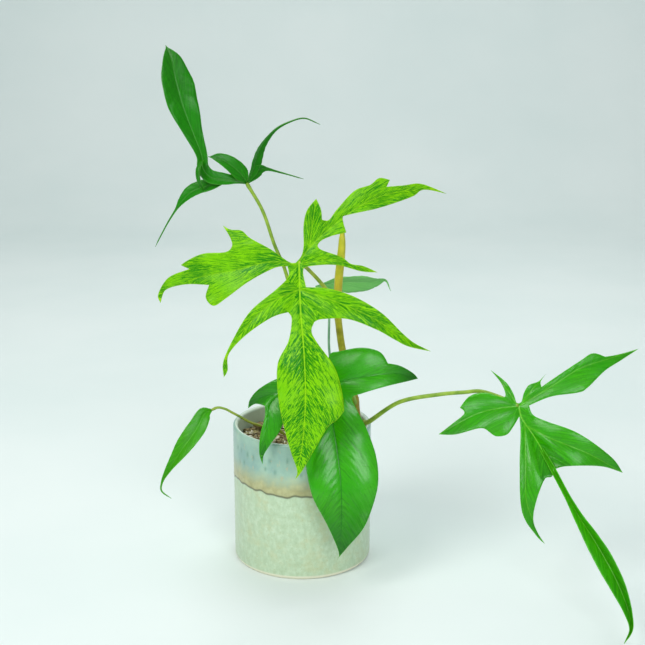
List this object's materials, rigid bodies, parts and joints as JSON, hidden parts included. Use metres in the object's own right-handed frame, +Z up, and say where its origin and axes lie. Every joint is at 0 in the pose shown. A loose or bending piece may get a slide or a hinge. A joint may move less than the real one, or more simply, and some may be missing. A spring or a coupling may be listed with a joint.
{
  "type": "potted philodendron",
  "caption": "Potted philodendron with deeply lobed drooping leaves on arching stalks, in a straight cylindrical pot with a two-tone celadon glaze.",
  "frame": {"origin": "middle of the pot's underside", "axes": "+Z up along the pot's axis, -Y towards the side the leaves face, +X towards the long leaf that hangs over the right of the rim"},
  "size_m": [0.4389, 0.308, 0.4778],
  "materials": {
    "glazed_stoneware": "gloss",
    "potting_mix": "matte",
    "stem": "satin",
    "growth_tip": "satin",
    "petiole": "satin",
    "leaf_lime_mottled": "satin",
    "leaf_deep_green": "gloss",
    "leaf_mid_green": "satin",
    "leaf_blue_green": "satin",
    "bark": "matte",
    "pumice": "matte"
  },
  "bodies": {
    "root": {"pot": "glazed_stoneware", "potting_mix": "potting_mix", "main_stem": "stem", "growth_tip": "growth_tip", "petiole_centre": "petiole", "petiole_front": "petiole", "petiole_right": "petiole", "petiole_upper": "petiole", "petiole_left": "petiole", "petiole_back": "petiole", "blade_centre": "leaf_lime_mottled", "blade_front": "leaf_deep_green", "blade_right": "leaf_mid_green", "blade_upper": "leaf_deep_green", "blade_left": "leaf_mid_green", "blade_back": "leaf_blue_green", "bark_chip_1": "bark", "bark_chip_2": "bark", "bark_chip_3": "bark", "bark_chip_4": "bark", "bark_chip_5": "bark", "pumice_1": "pumice", "pumice_2": "pumice", "pumice_3": "pumice", "pumice_4": "pumice", "pumice_5": "pumice", "pumice_6": "pumice"}
  },
  "joints": []
}
